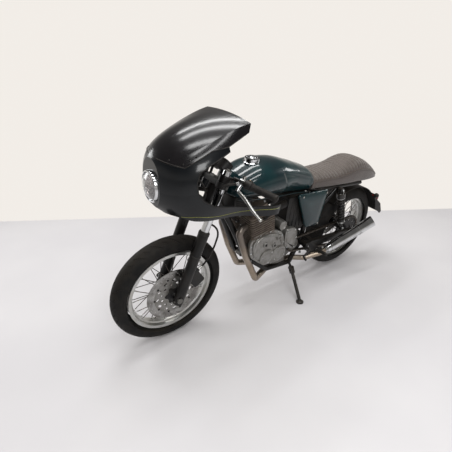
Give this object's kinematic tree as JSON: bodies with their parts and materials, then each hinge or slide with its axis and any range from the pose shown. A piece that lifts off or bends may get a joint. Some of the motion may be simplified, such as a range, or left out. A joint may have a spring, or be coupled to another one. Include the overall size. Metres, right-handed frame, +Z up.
{
  "type": "motorcycle",
  "caption": "Cafe racer motorcycle with a half fairing, low clip-on bars, a ribbed seat and upswept silencers, leaning on its side stand; the wheels spin and the bars steer.",
  "frame": {"origin": "on the floor under the middle of the overall box", "axes": "+Z up from the floor, +Y towards the tail, +X to the side the machine leans to, its left"},
  "size_m": [0.7085, 2.152, 1.2227],
  "materials": {
    "alloy": "satin",
    "black_metal": "satin",
    "black_plastic": "matte",
    "black_rubber": "satin",
    "chain_steel": "oiled",
    "chrome": "polished",
    "disc_steel": "brushed",
    "engine_alloy": "satin",
    "engine_grey": "satin",
    "frame_black": "gloss",
    "green_paint": "gloss",
    "green_plastic": "gloss",
    "grip_rubber": "matte",
    "header_steel": "heat stained",
    "lamp_red": "gloss",
    "lens_glass": "clear",
    "seat_leather": "worn satin",
    "smoked_plastic": "gloss",
    "steel": "satin",
    "tyre": "matte"
  },
  "bodies": {
    "chassis": {"frame": "frame_black", "swingarm": "frame_black", "rear_axle": "steel", "shock_bodies": "steel", "shock_springs": "black_metal", "chain": "chain_steel", "rear_caliper": "black_metal", "crankcase": "engine_grey", "barrel": "engine_grey", "cylinder_head": "engine_grey", "engine_covers": "engine_alloy", "air_box": "black_plastic", "header_pipes": "header_steel", "collector": "header_steel", "silencers": "chrome", "fuel_tank": "green_paint", "filler_cap": "chrome", "seat": "seat_leather", "seat_base": "black_plastic", "side_covers": "green_paint", "fairing": "green_plastic", "windscreen": "smoked_plastic", "headlight": "lens_glass", "rear_mudguard": "black_plastic", "tail_lamp": "lamp_red", "foot_controls": "alloy", "fairing_stay": "frame_black"},
    "steering": {"fork_sliders": "black_metal", "fork_stanchions": "chrome", "front_axle": "steel", "yokes": "black_metal", "clip_ons": "black_metal", "grips": "grip_rubber", "levers": "alloy", "instruments": "black_plastic", "front_caliper": "black_metal", "brake_hose": "black_rubber", "clutch_cable": "black_rubber"},
    "front_wheel": {"front_tyre": "tyre", "front_rim": "alloy", "front_hub": "black_metal", "front_disc": "disc_steel"},
    "rear_wheel": {"rear_tyre": "tyre", "rear_rim": "alloy", "rear_hub": "black_metal", "rear_disc": "disc_steel"},
    "side_stand": {"side_stand": "frame_black"}
  },
  "joints": [
    {"name": "steering", "type": "hinge", "parent": "chassis", "child": "steering", "pos_m": [-0.01455, -0.54538, 0.76087], "axis": [0.1235, 0.3584, 0.9254], "range_deg": [-26, 26]},
    {"name": "front_wheel_spin", "type": "hinge", "parent": "steering", "child": "front_wheel", "pos_m": [-0.07381, -0.757, 0.31677], "axis": [0.9912, 0, -0.1323], "continuous": true},
    {"name": "rear_wheel_spin", "type": "hinge", "parent": "chassis", "child": "rear_wheel", "pos_m": [-0.07381, 0.653, 0.31677], "axis": [0.9912, 0, -0.1323], "continuous": true},
    {"name": "side_stand_fold", "type": "hinge", "parent": "chassis", "child": "side_stand", "pos_m": [0.03098, 0.072, 0.19484], "axis": [0.8264, -0.1188, 0.5505], "range_deg": [0, 91.8]}
  ]
}
